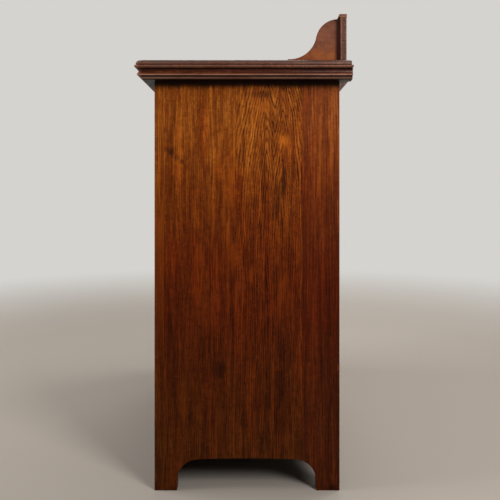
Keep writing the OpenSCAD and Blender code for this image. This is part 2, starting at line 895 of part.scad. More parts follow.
// Round rod with a domed tip and a knob, withdrawn
module bolt_rod(z_end, up) {
    knob_z = -case_in - case_l / 2 - rod_throw / 2;
    color(brass) translate([rod_x, rod_y, z_end]) mirror([0, 0, up > 0 ? 0 : 1]) {
        translate([0, 0, -tip_in - rod_l]) cylinder(r = rod_r, h = rod_l - rod_r / 2);
        translate([0, 0, -tip_in - rod_r / 2]) cylinder(r1 = rod_r, r2 = rod_r / 2, h = rod_r / 2);
        translate([0, 0, knob_z]) rotate([-90, 0, 0]) cylinder(r = 2.2, h = 9);
        translate([0, 10, knob_z]) sphere(r = 4);
    }
}

// Bored block behind the frieze for the upper rod
module bolt_keeper_top() {
    color(brass) difference() {
        block([rod_x - 11, frame_y, frieze_z + 4], [rod_x + 11, rod_y + rod_r + 3, frieze_z + 18]);
        translate([rod_x, rod_y, frieze_z]) cylinder(r = rod_r + 0.4, h = 30);
    }
}

module keeper_plate() {
    block([rod_x - 14, frame_y, plinth_z - 1.5], [rod_x + 14, rod_y + rod_r + 4, plinth_z]);
}

// Plate let into the bottom board for the lower rod
module bolt_keeper_bottom() {
    color(brass) difference() {
        keeper_plate();
        translate([rod_x, rod_y, board_z]) cylinder(r = rod_r + 0.4, h = bottom_t + over);
    }
}

side_panel(left);  // side_panel_left
side_panel(right);  // side_panel_right
face_stile(left);  // face_stile_left
face_stile(right);  // face_stile_right
frieze_rail();
plinth_rail();
bottom_board();
shelf();
shelf_bearer(left);  // shelf_bearer_left
shelf_bearer(right);  // shelf_bearer_right
back_boards();
top_rail(frame_y);  // top_rail_front
top_rail(back_y - rail_d);  // top_rail_rear
top_board();
cornice_front();
cornice_side(left);  // cornice_left
cornice_side(right);  // cornice_right
rear_batten();
gallery_back();
gallery_cap();
gallery_bracket(left);  // gallery_bracket_left
gallery_bracket(right);  // gallery_bracket_right
glue_blocks();
door_stops();
hinge_leaves(left, 0);  // hinge_leaves_frame_left
hinge_leaves(right, 0);  // hinge_leaves_frame_right
hinge_pins(left);  // hinge_pins_left
hinge_pins(right);  // hinge_pins_right
bolt_keeper_top();
bolt_keeper_bottom();
door_hinge_stile(left);  // door_left_hinge_stile
door_meeting_stile(left);  // door_left_meeting_stile
door_rail(left, panel_z1, door_z1);  // door_left_top_rail
door_rail(left, door_z0, panel_z0);  // door_left_bottom_rail
door_panel(left);  // door_left_panel
door_bead(left);  // door_left_bead
hinge_leaves(left, 1);  // hinge_leaves_door_left
handle_plate(left);  // handle_plate_left
handle_drop(left);  // handle_drop_left
bolt_case(door_z1, 1);  // bolt_case_top
bolt_case(door_z0, -1);  // bolt_case_bottom
bolt_rod(door_z1, 1);  // bolt_rod_top
bolt_rod(door_z0, -1);  // bolt_rod_bottom
lock_staple();
door_hinge_stile(right);  // door_right_hinge_stile
door_meeting_stile(right);  // door_right_meeting_stile
door_rail(right, panel_z1, door_z1);  // door_right_top_rail
door_rail(right, door_z0, panel_z0);  // door_right_bottom_rail
door_panel(right);  // door_right_panel
door_bead(right);  // door_right_bead
hinge_leaves(right, 1);  // hinge_leaves_door_right
handle_plate(right);  // handle_plate_right
handle_drop(right);  // handle_drop_right
lock_case();
lock_bolt();
escutcheon();
key();
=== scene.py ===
"""The looks of an old oak cupboard with a moulded top, a scrolled gallery and two panelled doors.

The front faces -Y, the floor is z = 0, and every size is in metres.
"""

import math

import bmesh
import bpy
from mathutils import Matrix, Vector


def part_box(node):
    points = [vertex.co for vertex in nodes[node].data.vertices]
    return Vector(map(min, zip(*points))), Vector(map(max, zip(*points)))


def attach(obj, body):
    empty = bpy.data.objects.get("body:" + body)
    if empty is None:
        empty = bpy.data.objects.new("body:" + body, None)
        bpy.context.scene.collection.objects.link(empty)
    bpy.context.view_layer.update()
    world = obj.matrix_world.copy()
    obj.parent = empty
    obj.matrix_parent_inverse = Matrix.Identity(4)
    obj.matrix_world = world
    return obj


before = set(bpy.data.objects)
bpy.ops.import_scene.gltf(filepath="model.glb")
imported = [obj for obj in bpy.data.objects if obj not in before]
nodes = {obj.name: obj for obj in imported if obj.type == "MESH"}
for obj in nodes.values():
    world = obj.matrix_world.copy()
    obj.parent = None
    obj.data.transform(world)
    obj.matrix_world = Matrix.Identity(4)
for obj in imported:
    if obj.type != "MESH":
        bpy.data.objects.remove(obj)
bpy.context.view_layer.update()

MM = 0.001
RIGHT = 1
LEFT = -1
SIDE_NAMES = {LEFT: "left", RIGHT: "right"}

ACROSS = Vector((1, 0, 0))
DEEP = Vector((0, 1, 0))
UP = Vector((0, 0, 1))


def paint(red, green, blue):
    """A colour given in the usual 0 to 255, as the linear colour that the shaders use."""
    def linear(level):
        share = level / 255
        return share / 12.92 if share <= 0.04045 else ((share + 0.055) / 1.055) ** 2.4
    return (linear(red), linear(green), linear(blue), 1.0)


# Camera

CAMERA_PLACE = (1.621, 0.0207, 0.641)
FOCAL_LENGTH = 40.33
SENSOR_WIDTH = 36.0
VIEW_SHIFT = (-0.008, -0.1174)


def set_camera():
    """Square to the right-hand side, at the photograph's height and distance."""
    data = bpy.data.cameras.new("camera")
    data.lens = FOCAL_LENGTH
    data.sensor_width = SENSOR_WIDTH
    data.shift_x, data.shift_y = VIEW_SHIFT
    camera = bpy.data.objects.new("camera", data)
    camera.location = CAMERA_PLACE
    camera.rotation_euler = (math.radians(90), 0, math.radians(90))
    bpy.context.scene.collection.objects.link(camera)
    bpy.context.scene.camera = camera


# Node trees

# The Mix node's sockets for colours
MIX_SHARE, MIX_FIRST, MIX_SECOND = 0, 6, 7
MIX_COLOUR = 2


class Tree:
    """Short ways to add and wire the nodes of a material or a group."""

    def __init__(self, tree):
        self.tree = tree

    def feed(self, socket, value):
        """Wires the socket to another one, or sets its value."""
        if isinstance(value, bpy.types.NodeSocket):
            self.tree.links.new(value, socket)
        elif value is not None:
            socket.default_value = value

    def add(self, kind, *inputs, **settings):
        made = self.tree.nodes.new(kind)
        for name, value in settings.items():
            setattr(made, name, value)
        for socket, value in zip(made.inputs, inputs):
            self.feed(socket, value)
        return made

    def calc(self, operation, *values, clamp=False):
        return self.add("ShaderNodeMath", *values, operation=operation, use_clamp=clamp).outputs[0]

    def times(self, first, second):
        return self.calc("MULTIPLY", first, second)

    def swing(self, value):
        """A value of 0 to 1, moved to swing about nought."""
        return self.calc("SUBTRACT", value, 0.5)

    def scaled(self, vector, factors):
        return self.add("ShaderNodeVectorMath", vector, factors, operation="MULTIPLY").outputs[0]

    def moved(self, vector, step):
        return self.add("ShaderNodeVectorMath", vector, step, operation="ADD").outputs[0]

    def parts(self, vector):
        return self.add("ShaderNodeSeparateXYZ", vector).outputs

    def joined(self, x, y, z):
        return self.add("ShaderNodeCombineXYZ", x, y, z).outputs[0]

    def noise(self, vector, scale, detail=2.0, rough=0.5):
        made = self.add("ShaderNodeTexNoise")
        for name, value in (("Vector", vector), ("Scale", scale), ("Detail", detail),
                            ("Roughness", rough)):
            self.feed(made.inputs[name], value)
        return made.outputs["Fac"]

    def streaks(self, vector, share, scale, detail=2.0, rough=0.5):
        """Noise drawn out along the third direction: the smaller the share, the longer."""
        return self.noise(self.scaled(vector, (1, 1, share)), scale, detail, rough)

    def chance(self, number):
        """A value of 0 to 1 that differs from one whole number to the next."""
        made = self.add("ShaderNodeTexWhiteNoise", noise_dimensions="1D")
        self.feed(made.inputs["W"], number)
        return made.outputs["Value"]

    def fade(self, value, low, high, start=0.0, end=1.0):
        """start below low, end above high, with a smooth change in between."""
        made = self.add("ShaderNodeMapRange", value, low, high, start, end,
                        interpolation_type="SMOOTHSTEP")
        return made.outputs[0]

    def blend(self, share, first, second, how="MIX"):
        made = self.add("ShaderNodeMix", data_type="RGBA", blend_type=how, clamp_factor=True)
        self.feed(made.inputs[MIX_SHARE], share)
        self.feed(made.inputs[MIX_FIRST], first)
        self.feed(made.inputs[MIX_SECOND], second)
        return made.outputs[MIX_COLOUR]

    def ramp(self, value, *stops):
        """A colour ramp from stops of (place, colour)."""
        made = self.add("ShaderNodeValToRGB", value)
        points = made.color_ramp.elements
        while len(points) < len(stops):
            points.new(1.0)
        for point, (place, colour) in zip(points, stops):
            point.position = place
            point.color = colour
        return made.outputs[0]

    def use(self, group, **inputs):
        """A node group with its inputs by name, where an underscore stands for a space."""
        made = self.add("ShaderNodeGroup", node_tree=group)
        for name, value in inputs.items():
            self.feed(made.inputs[name.replace("_", " ")], value)
        return made.outputs


def new_group(name, inputs, outputs):
    """A group with inputs from {name: (type, start value)} and outputs from {name: type}.

    Gives the group, its Tree, its inputs and its output node.
    """
    group = bpy.data.node_groups.new(name, "ShaderNodeTree")
    for label, (kind, start) in inputs.items():
        socket = group.interface.new_socket(label, in_out="INPUT",
                                            socket_type="NodeSocket" + kind)
        if start is not None:
            socket.default_value = start
    for label, kind in outputs.items():
        group.interface.new_socket(label, in_out="OUTPUT", socket_type="NodeSocket" + kind)
    tree = Tree(group)
    given = tree.add("NodeGroupInput").outputs
    result = tree.add("NodeGroupOutput")
    return group, tree, given, result


def shift_for(tree, vector, board, step):
    """The same pattern taken from another place for each board."""
    return tree.moved(vector, tree.scaled(tree.joined(board, board, board), step))


# What a board's growth rings need. The vector is (across, through, along) the board, and Board is
# the number of its tree. Heart and Second Heart are the places across the board that the rings
# lie round, and Second Drop sets the second one lower. Taper is the drift of the rings across the
# board for each metre along it. Above Peak Start they close into peaks, at the rate of Peak Taper.
RING_INPUTS = {
    "Vector": ("Vector", None), "Board": ("Float", 0.0),
    "Heart": ("Float", 0.0), "Second Heart": ("Float", 0.0), "Second Drop": ("Float", 0.0),
    "Bluntness": ("Float", 0.01), "Taper": ("Float", 0.05),
    "Peak Start": ("Float", 5.0), "Peak Taper": ("Float", 0.0),
    "Ring Width": ("Float", 0.004), "Wander": ("Float", 0.006), "Jag": ("Float", 0.0015),
}
# The length over which the rings turn from straight to closing, and how much that blunts a peak
PEAK_EASE = 120 * MM
PEAK_BLUNTING = 0.06
# The roundness of the valley between two hearts
VALLEY = 4 * MM
# Away from the hearts the rings run nearly straight again: from, to, and the closing that is left
CLOSING_FROM = 10 * MM
CLOSING_TO = 80 * MM
CLOSING_LEFT = 0.45


def make_growth_rings():
    """Cut growth rings of a plain-sawn board: two hearts whose rings climb to nested peaks.

    Line is the open-pored dark start of a ring, and Tone its shade.
    """
    group, tree, given, result = new_group("growth_rings", RING_INPUTS,
                                           {"Line": "Float", "Tone": "Float"})
    shifted = shift_for(tree, given["Vector"], given["Board"], (3.7, 1.9, 5.3))
    # The rings drift over decimetres, waver over centimetres and are ragged over millimetres
    drift = tree.times(tree.swing(tree.streaks(shifted, 0.3, 7.0)), given["Wander"])
    waver = tree.times(tree.swing(tree.streaks(shifted, 0.22, 55.0)),
                       tree.times(given["Jag"], 2.4))
    ragged = tree.times(tree.swing(tree.streaks(shifted, 0.4, 190.0, rough=0.6)), given["Jag"])
    across, _, along = tree.parts(given["Vector"])
    place = tree.calc("ADD", across, tree.times(drift, 4.0))
    place = tree.calc("ADD", place, tree.calc("ADD", waver, ragged))
    above = tree.calc("SMOOTH_MAX", tree.calc("SUBTRACT", along, given["Peak Start"]), 0.0,
                      PEAK_EASE)
    closing = tree.times(above, given["Peak Taper"])
    bluntness = tree.calc("MULTIPLY_ADD", closing, PEAK_BLUNTING, given["Bluntness"])
    blunt_square = tree.times(bluntness, bluntness)

    def distance(heart):
        away = tree.calc("SUBTRACT", place, heart)
        return tree.calc("SQRT", tree.calc("ADD", tree.times(away, away), blunt_square))

    first = distance(given["Heart"])
    second = tree.calc("ADD", distance(given["Second Heart"]), given["Second Drop"])
    nearer = tree.calc("SMOOTH_MIN", first, second, VALLEY)
    kept = tree.fade(nearer, CLOSING_FROM, CLOSING_TO, 1.0, CLOSING_LEFT)
    climb = tree.calc("MULTIPLY_ADD", along, given["Taper"], tree.times(closing, kept))
    count = tree.calc("DIVIDE", tree.calc("ADD", nearer, tree.calc("ADD", climb, drift)),
                      given["Ring Width"])
    # Each ring has a sharp start that fades over half its width, and is broken here and there
    inside = tree.calc("FRACT", count)
    chance = tree.chance(tree.calc("MULTIPLY_ADD", given["Board"], 17.3,
                                   tree.calc("FLOOR", count)))
    rise = tree.fade(inside, 0.0, 0.10)
    fall = tree.fade(inside, 0.12, 0.52, 1.0, 0.0)
    strength = tree.fade(chance, 0.0, 1.0, 0.4, 1.0)
    broken = tree.fade(tree.streaks(shifted, 0.3, 95.0, 3.0, 0.7), 0.34, 0.58, 0.25, 1.0)
    tree.feed(result.inputs["Line"],
              tree.times(tree.times(rise, fall), tree.times(strength, broken)))
    tree.feed(result.inputs["Tone"], tree.swing(chance))
    return group


def make_pores():
    """Short dark vessel lines that run with the grain, closest in the open start of each ring."""
    group, tree, given, result = new_group("pores", {
        "Vector": ("Vector", None), "Board": ("Float", 0.0), "Line": ("Float", 0.0),
    }, {"Mask": "Float"})
    shifted = shift_for(tree, given["Vector"], given["Board"], (1.3, 2.9, 4.1))
    wide = tree.fade(tree.streaks(shifted, 0.06, 430.0, rough=0.6), 0.55, 0.68)
    thin = tree.fade(tree.streaks(shifted, 0.07, 1000.0, detail=1.0), 0.53, 0.7)
    both = tree.calc("MAXIMUM", wide, tree.times(thin, 0.6))
    crowd = tree.calc("MULTIPLY_ADD", given["Line"], 0.7, 0.45)
    tree.feed(result.inputs["Mask"], tree.calc("MULTIPLY", both, crowd, clamp=True))
    return group


# The three shades of the stained oak, where daylight has reached it
OAK_DARK = paint(45, 15, 3)
OAK_MIDDLE = paint(124, 61, 14)
OAK_LIGHT = paint(190, 112, 36)


def make_oak(rings, pores):
    """Stained and shellacked oak: streaks, rings, pores and mottle, from dark to light."""
    group, tree, given, result = new_group("oak", {
        **RING_INPUTS,
        "Line Strength": ("Float", 0.5), "Contrast": ("Float", 1.0), "Level": ("Float", 0.5),
        "Dark": ("Color", OAK_DARK), "Middle": ("Color", OAK_MIDDLE),
        "Light": ("Color", OAK_LIGHT),
    }, {"Color": "Color", "Roughness": "Float", "Height": "Float"})
    ring = tree.use(rings, **{name.replace(" ", "_"): given[name] for name in RING_INPUTS})
    pore = tree.use(pores, Vector=given["Vector"], Board=given["Board"],
                    Line=ring["Line"])["Mask"]
    shifted = shift_for(tree, given["Vector"], given["Board"], (5.1, 2.3, 7.9))
    broad = tree.streaks(shifted, 0.10, 22.0)
    streak = tree.streaks(shifted, 0.05, 120.0, 3.0, 0.6)
    fibre = tree.streaks(shifted, 0.05, 400.0, rough=0.6)
    mottle = tree.streaks(shifted, 0.8, 75.0, 3.0, 0.65)
    fleck = tree.noise(tree.scaled(shifted, (0.35, 1, 1.6)), 260.0, rough=0.6)
    stipple = tree.streaks(shifted, 0.3, 330.0, rough=0.7)

    change = tree.times(ring["Tone"], 0.14)
    for value, weight in ((broad, 0.45), (streak, 0.75), (fibre, 0.75), (mottle, 0.35),
                          (fleck, 0.22), (stipple, 0.45)):
        change = tree.calc("ADD", change, tree.times(tree.swing(value), weight))
    tone = tree.calc("MULTIPLY_ADD", change, given["Contrast"], given["Level"])
    tone = tree.calc("SUBTRACT", tone, tree.times(ring["Line"], given["Line Strength"]))
    tone = tree.calc("SUBTRACT", tone, tree.times(pore, 0.24), clamp=True)
    # Dark to middle in the tone's lower half, and middle to light in its upper half
    lower = tree.blend(tree.calc("MULTIPLY", tone, 2.0, clamp=True), given["Dark"],
                       given["Middle"])
    upper = tree.calc("MULTIPLY_ADD", tone, 2.0, -1.0, clamp=True)
    tree.feed(result.inputs["Color"], tree.blend(upper, lower, given["Light"]))
    tree.feed(result.inputs["Roughness"],
              tree.calc("ADD", tree.fade(mottle, 0.3, 0.7, 0.36, 0.5), tree.times(pore, 0.2)))
    hollow = tree.calc("ADD", tree.times(pore, 0.7), tree.times(ring["Line"], 0.3))
    tree.feed(result.inputs["Height"], tree.calc("SUBTRACT", 1.0, hollow))
    return group


def make_edge_wear():
    """1 along the arrises of a square-edged piece in the box from Low to High, 0 elsewhere."""
    group, tree, given, result = new_group("edge_wear", {
        "Vector": ("Vector", None), "Low": ("Vector", None), "High": ("Vector", None),
        "Reach": ("Float", 0.004), "Board": ("Float", 0.0),
    }, {"Mask": "Float"})

    def vectors(operation, first, second):
        return tree.add("ShaderNodeVectorMath", first, second, operation=operation).outputs[0]

    # At an arris a point is near the box in two of its three directions
    x, y, z = tree.parts(vectors("MINIMUM", vectors("SUBTRACT", given["Vector"], given["Low"]),
                                 vectors("SUBTRACT", given["High"], given["Vector"])))
    second = tree.calc("MAXIMUM", tree.calc("MINIMUM", x, y),
                       tree.calc("MINIMUM", tree.calc("MAXIMUM", x, y), z))
    ragged = tree.noise(shift_for(tree, given["Vector"], given["Board"], (2.3, 3.1, 1.7)),
                        48.0, 4.0, 0.65)
    edge = tree.calc("ADD", tree.calc("DIVIDE", second, given["Reach"]),
                     tree.calc("MULTIPLY_ADD", ragged, 2.6, -1.3))
    tree.feed(result.inputs["Mask"], tree.fade(edge, 0.0, 1.0, 1.0, 0.0))
    return group


OAK = make_oak(make_growth_rings(), make_pores())
EDGE_WEAR = make_edge_wear()


# Materials


# How deep the grain is under old polish, and where the surface is smoother
GRAIN_DEPTH = 0.25 * MM
SMOOTHER_GRAIN_DEPTH = 0.2 * MM


class Finish:
    """A new material: its Tree, its shader and the place on the object."""

    def __init__(self, name):
        self.material = bpy.data.materials.new(name)
        self.material.use_nodes = True
        self.tree = Tree(self.material.node_tree)
        self.shader = self.material.node_tree.nodes["Principled BSDF"]
        self.place = self.tree.add("ShaderNodeTexCoord").outputs["Object"]

    def on_board(self, along, across):
        """The place as (across, through, along) a board, from two directions of the board."""
        turned = self.tree.add("ShaderNodeMapping", self.place)
        turn = Matrix((across, along.cross(across), along)).to_euler()
        turned.inputs["Rotation"].default_value = turn
        return turned.outputs[0]

    def set(self, **inputs):
        """Sets the shader's inputs by name, where an underscore stands for a space."""
        for name, value in inputs.items():
            self.tree.feed(self.shader.inputs[name.replace("_", " ")], value)

    def relief(self, height, depth, strength=1.0):
        bump = self.tree.add("ShaderNodeBump")
        bump.inputs["Strength"].default_value = strength
        bump.inputs["Distance"].default_value = depth
        self.tree.feed(bump.inputs["Height"], height)
        self.set(Normal=bump.outputs[0])


# Heights above the floor, and how much red, green and blue of its top shade the wood keeps there:
# the darkening toward the floor is partly the wood's age and partly painted shade of the light
# falling off low down
PATINA_AND_SHADE = (
    (0.0, (0.26, 0.24, 0.28)), (0.105, (0.265, 0.24, 0.27)), (0.205, (0.29, 0.22, 0.19)),
    (0.355, (0.30, 0.18, 0.125)), (0.505, (0.42, 0.255, 0.165)), (0.655, (0.65, 0.52, 0.38)),
    (0.79, (1.0, 1.0, 1.0)), (0.89, (1.0, 1.0, 1.0)),
)


def patina_and_shade(finish, colour):
    """The wood is bleached where daylight reached it, and darker and redder near the floor: the
    darkening is partly the wood's age and partly painted shade of the light falling off low down.
    """
    tree = finish.tree
    height = tree.parts(finish.place)[2]
    top = PATINA_AND_SHADE[-1][0]
    share = tree.calc("DIVIDE", height, top, clamp=True)
    stops = [(z / top, (*kept, 1.0)) for z, kept in PATINA_AND_SHADE]
    return tree.blend(1.0, colour, tree.ramp(share, *stops), how="MULTIPLY")


def rub_edges(finish, colour, node, board, reach=3.5 * MM, strength=0.5, rubbed=OAK_LIGHT):
    """Another shade along the arrises, where hands have rubbed them."""
    low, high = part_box(node)
    mask = finish.tree.use(EDGE_WEAR, Vector=finish.place, Low=tuple(low), High=tuple(high),
                           Reach=reach, Board=float(board))["Mask"]
    return finish.tree.blend(finish.tree.times(mask, strength), colour, rubbed)


MOULDING_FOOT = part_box("cornice_right")[0][2]
# How far below the moulding the painted shade and the dirt reach
UNDER_MOULDING_SHADE_HEIGHT = 14 * MM
# Near-black used for dirt and for painted shade, under the moulding and in its grooves
SHADE_AND_DIRT = paint(13, 5, 2)


def shade_and_grime_under_moulding(finish, colour):
    """Painted shade under the moulding, where its shadow falls, together with dirt and old polish
    in the corner where no duster reaches.
    """
    tree = finish.tree
    ragged = tree.streaks(finish.place, 0.3, 60.0, 3.0, 0.6)
    height = tree.calc("MULTIPLY_ADD", ragged, 8 * MM, tree.parts(finish.place)[2])
    shade_share = tree.fade(height, MOULDING_FOOT - UNDER_MOULDING_SHADE_HEIGHT, MOULDING_FOOT, 0.0, 0.95)
    return tree.blend(shade_share, colour, SHADE_AND_DIRT)


def oak_board(node, along, across, board, heart=0.35, taper=0.012, level=0.5, lines=0.35,
              width=0.0045, contrast=1.0, dark=OAK_DARK, middle=OAK_MIDDLE, light=OAK_LIGHT,
              faded_and_shaded=True, polish=0.12, wear=0.4, bleached=None):
    """A straight-grained oak board of its own tree, seen along its own grain.

    bleached is the middle, the half length and the strength of a paler stretch of its height.
    """
    finish = Finish("oak_" + node)
    tree = finish.tree
    grain = tree.use(OAK, Vector=finish.on_board(along, across), Board=float(board),
                     Heart=heart, Second_Heart=heart + 0.05, Second_Drop=0.05, Taper=taper,
                     Ring_Width=width, Wander=0.012, Contrast=contrast, Line_Strength=lines,
                     Level=level, Dark=dark, Middle=middle, Light=light)
    colour = rub_edges(finish, grain["Color"], node, board, strength=wear, rubbed=light)
    if bleached:
        middle_height, reach, strength = bleached
        away = tree.calc("SUBTRACT", tree.parts(finish.place)[2], middle_height)
        pale = tree.fade(tree.calc("ABSOLUTE", away), 0.5 * reach, reach, strength, 0.0)
        colour = tree.blend(pale, colour, light)
    # Painted shade toward the floor and under the moulding, along with the wood's age and dirt
    if faded_and_shaded:
        colour = shade_and_grime_under_moulding(finish, patina_and_shade(finish, colour))
    finish.set(Base_Color=colour, Roughness=grain["Roughness"], Specular_IOR_Level=polish)
    finish.relief(grain["Height"], GRAIN_DEPTH)
    return finish.material


# The side panel's joints, by their depth
PANEL_JOINTS = (-0.020, 0.124)
# Marks on the right-hand panel: place (Y, Z), half sizes (Y, Z), strength
DARK_MARKS = (
    # The knot near the front edge
    ((-0.157, 0.726), (0.010, 0.013), 0.75),
    ((-0.168, 0.732), (0.013, 0.007), 0.45),
    ((-0.146, 0.714), (0.009, 0.009), 0.50),
    ((-0.134, 0.705), (0.006, 0.006), 0.65),
    # Streaks in and below the flame
    ((0.034, 0.850), (0.032, 0.011), 0.55),
    ((0.098, 0.761), (0.010, 0.022), 0.25),
    ((0.037, 0.697), (0.007, 0.022), 0.25),
    ((0.085, 0.668), (0.006, 0.030), 0.75),
    ((0.077, 0.640), (0.011, 0.040), 0.45),
    ((0.070, 0.600), (0.005, 0.026), 0.60),
    ((0.036, 0.560), (0.004, 0.040), 0.45),
    ((0.066, 0.470), (0.010, 0.070), 0.35),
    ((0.093, 0.300), (0.009, 0.070), 0.25),
    ((0.051, 0.270), (0.009, 0.160), 0.25),
    ((0.084, 0.225), (0.030, 0.150), 0.42),
    ((0.051, 0.165), (0.010, 0.070), 0.35),
    # Clouds on the front board, the round one low down
    ((-0.174, 0.775), (0.010, 0.026), 0.25),
    ((-0.079, 0.600), (0.009, 0.090), 0.18),
    ((-0.085, 0.300), (0.018, 0.060), 0.25),
    ((-0.050, 0.258), (0.020, 0.026), 0.60),
    # Dirt at the feet
    ((0.188, 0.006), (0.012, 0.012), 0.85),
    ((-0.150, 0.004), (0.020, 0.008), 0.50),
)
LIGHT_MARKS = (
    # The flame's eye, and the glow above it
    ((0.086, 0.748), (0.017, 0.022), 0.50),
    ((0.042, 0.820), (0.026, 0.012), 0.22),
    # Streaks from the top down
    ((-0.022, 0.735), (0.003, 0.080), 0.40),
    ((-0.140, 0.730), (0.010, 0.110), 0.22),
    ((-0.053, 0.720), (0.009, 0.060), 0.20),
    ((0.186, 0.720), (0.003, 0.090), 0.35),
    ((0.162, 0.700), (0.004, 0.120), 0.30),
    ((-0.029, 0.660), (0.011, 0.080), 0.30),
    ((-0.025, 0.500), (0.012, 0.050), 0.40),
    ((0.014, 0.457), (0.007, 0.022), 0.50),
    ((0.075, 0.410), (0.005, 0.080), 0.35),
    ((-0.130, 0.190), (0.012, 0.060), 0.25),
    ((-0.053, 0.155), (0.012, 0.040), 0.20),
    # Knocks on the rear board
    ((0.201, 0.265), (0.002, 0.008), 0.60),
    ((0.140, 0.271), (0.002, 0.005), 0.50),
)
DARK_MARK_SHADE = paint(40, 17, 6)
LIGHT_MARK_SHADE = paint(205, 112, 28)
# Warm red streaks under the polish
RED_GLOW = paint(215, 150, 90)
# The rear board's wood is a little redder
REDDER_MIDDLE = paint(118, 55, 18)
REDDER_LIGHT = paint(174, 98, 40)
# Near the floor the light streaks are redder too
LOW_LIGHT = paint(192, 90, 22)
# Heights between which the light shade goes from LOW_LIGHT to its own, and the rings get clear
LIGHT_HEIGHTS = (0.30, 0.66)
CLEAR_HEIGHTS = (0.10, 0.52)
# The front flank of the flame, where its rings are fainter
FLANK_WIDTH = 32 * MM
# The left-hand panel is cut from other trees
LEFT_SEED = 11.0


def by_board(tree, deep, values):
    """One value for each of the side panel's three boards, from front to rear."""
    level = values[0]
    for joint, before, after in zip(PANEL_JOINTS, values, values[1:]):
        past = tree.calc("GREATER_THAN", deep, joint)
        level = tree.calc("MULTIPLY_ADD", past, after - before, level)
    return level


def smudge(tree, place, middle, radii, ragged):
    """A soft blot on the panel, 1 in its middle: middle and radii are along Y and Z."""
    moved = tree.moved(place, (0.0, -middle[0], -middle[1]))
    scaled = tree.scaled(moved, (0.0, 1 / radii[0], 1 / radii[1]))
    length = tree.add("ShaderNodeVectorMath", scaled, operation="LENGTH").outputs["Value"]
    return tree.fade(tree.calc("ADD", length, ragged), 0.15, 1.15, 1.0, 0.0)


def side_panel_finish(side):
    """Three boards glued edge to edge, the middle one with a flame of nested peaks."""
    finish = Finish("oak_side_" + SIDE_NAMES[side])
    tree = finish.tree
    _, deep, height = tree.parts(finish.place)
    seed = 0.0 if side == RIGHT else LEFT_SEED
    redder = tree.calc("GREATER_THAN", deep, PANEL_JOINTS[1])
    bleached = tree.fade(height, *LIGHT_HEIGHTS, 0.45, 1.0)
    # The rings sink into the dark polish lower down, and they are fainter on the flame's flank
    flank = tree.fade(deep, PANEL_JOINTS[0], PANEL_JOINTS[0] + FLANK_WIDTH, 0.5, 1.0)
    clearer = tree.times(tree.fade(height, *CLEAR_HEIGHTS, 0.72, 1.0), flank)
    grain = tree.use(
        OAK, Vector=finish.on_board(UP, DEEP),
        Board=by_board(tree, deep, (1.0 + seed, 2.0 + seed, 3.0 + seed)),
        Heart=by_board(tree, deep, (-0.36, 0.044, 0.5)),
        Second_Heart=by_board(tree, deep, (-0.40, 0.077, 0.56)),
        Second_Drop=by_board(tree, deep, (0.05, -0.002, 0.05)),
        Bluntness=by_board(tree, deep, (0.01, 0.0022, 0.01)),
        Taper=by_board(tree, deep, (0.006, 0.018, -0.010)),
        Peak_Start=0.67,
        Peak_Taper=by_board(tree, deep, (0.0, 0.17, 0.0)),
        Ring_Width=by_board(tree, deep, (0.0042, 0.0048, 0.0060)),
        Wander=by_board(tree, deep, (0.008, 0.015, 0.010)),
        Jag=by_board(tree, deep, (0.0012, 0.0032, 0.0012)),
        Line_Strength=tree.times(by_board(tree, deep, (0.60, 0.78, 0.26)), clearer),
        Contrast=by_board(tree, deep, (1.12, 1.15, 0.9)),
        Level=by_board(tree, deep, (0.59, 0.655, 0.54)),
        Middle=tree.blend(redder, OAK_MIDDLE, REDDER_MIDDLE),
        Light=tree.blend(bleached, LOW_LIGHT, tree.blend(redder, OAK_LIGHT, REDDER_LIGHT)),
    )
    glow = tree.fade(tree.streaks(finish.place, 0.22, 21.0, 4.0, 0.65), 0.45, 0.7, 0.0, 0.32)
    colour = tree.blend(glow, grain["Color"], RED_GLOW, how="SOFT_LIGHT")
    if side == RIGHT:
        ragged = tree.calc("MULTIPLY_ADD", tree.streaks(finish.place, 0.5, 75.0, 4.0, 0.65),
                           1.7, -0.85)
        for marks, shade in ((LIGHT_MARKS, LIGHT_MARK_SHADE), (DARK_MARKS, DARK_MARK_SHADE)):
            for middle, radii, strength in marks:
                blot = smudge(tree, finish.place, middle, radii, ragged)
                colour = tree.blend(tree.times(blot, strength), colour, shade)
    colour = rub_edges(finish, colour, "side_panel_" + SIDE_NAMES[side], 5 + seed,
                       reach=1.5 * MM, strength=0.15)
    # Painted shade and dirt under the moulding, then painted shade and age darkening toward the
    # floor
    colour = shade_and_grime_under_moulding(finish, colour)
    finish.set(Base_Color=patina_and_shade(finish, colour), Roughness=grain["Roughness"],
               Specular_IOR_Level=0.06)
    finish.relief(grain["Height"], GRAIN_DEPTH)
    return finish.material


UNDER_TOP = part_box("top_board")[0][2]
# Bands of the mouldings round the top: height over UNDER_TOP, half width, strength.
# Slopes painted grey with dust and wear, and with a painted sheen of reflected pale light,
# strongest on the lower fillet
DUST_AND_SHEEN = ((11.3 * MM, 3.8 * MM, 0.28), (-19.4 * MM, 2.4 * MM, 0.85))
# Crests that hands rub pale, painted paler still as a highlight where the light catches them, most
# on the bead
RUBBED_AND_LIT_CRESTS = ((4.4 * MM, 1.8 * MM, 0.20), (1.4 * MM, 1.8 * MM, 0.30), (-13.7 * MM, 1.8 * MM, 0.95))
# Grooves and undersides darkened with painted shade and dirt, and a darker band on the ovolo's
# slope
SHADED_HOLLOWS = ((14.0 * MM, 4.0 * MM, 0.60), (6.9 * MM, 1.2 * MM, 0.75), (-1.2 * MM, 1.6 * MM, 0.90),
           (-16.4 * MM, 1.7 * MM, 0.95), (-23.2 * MM, 2.6 * MM, 0.95))
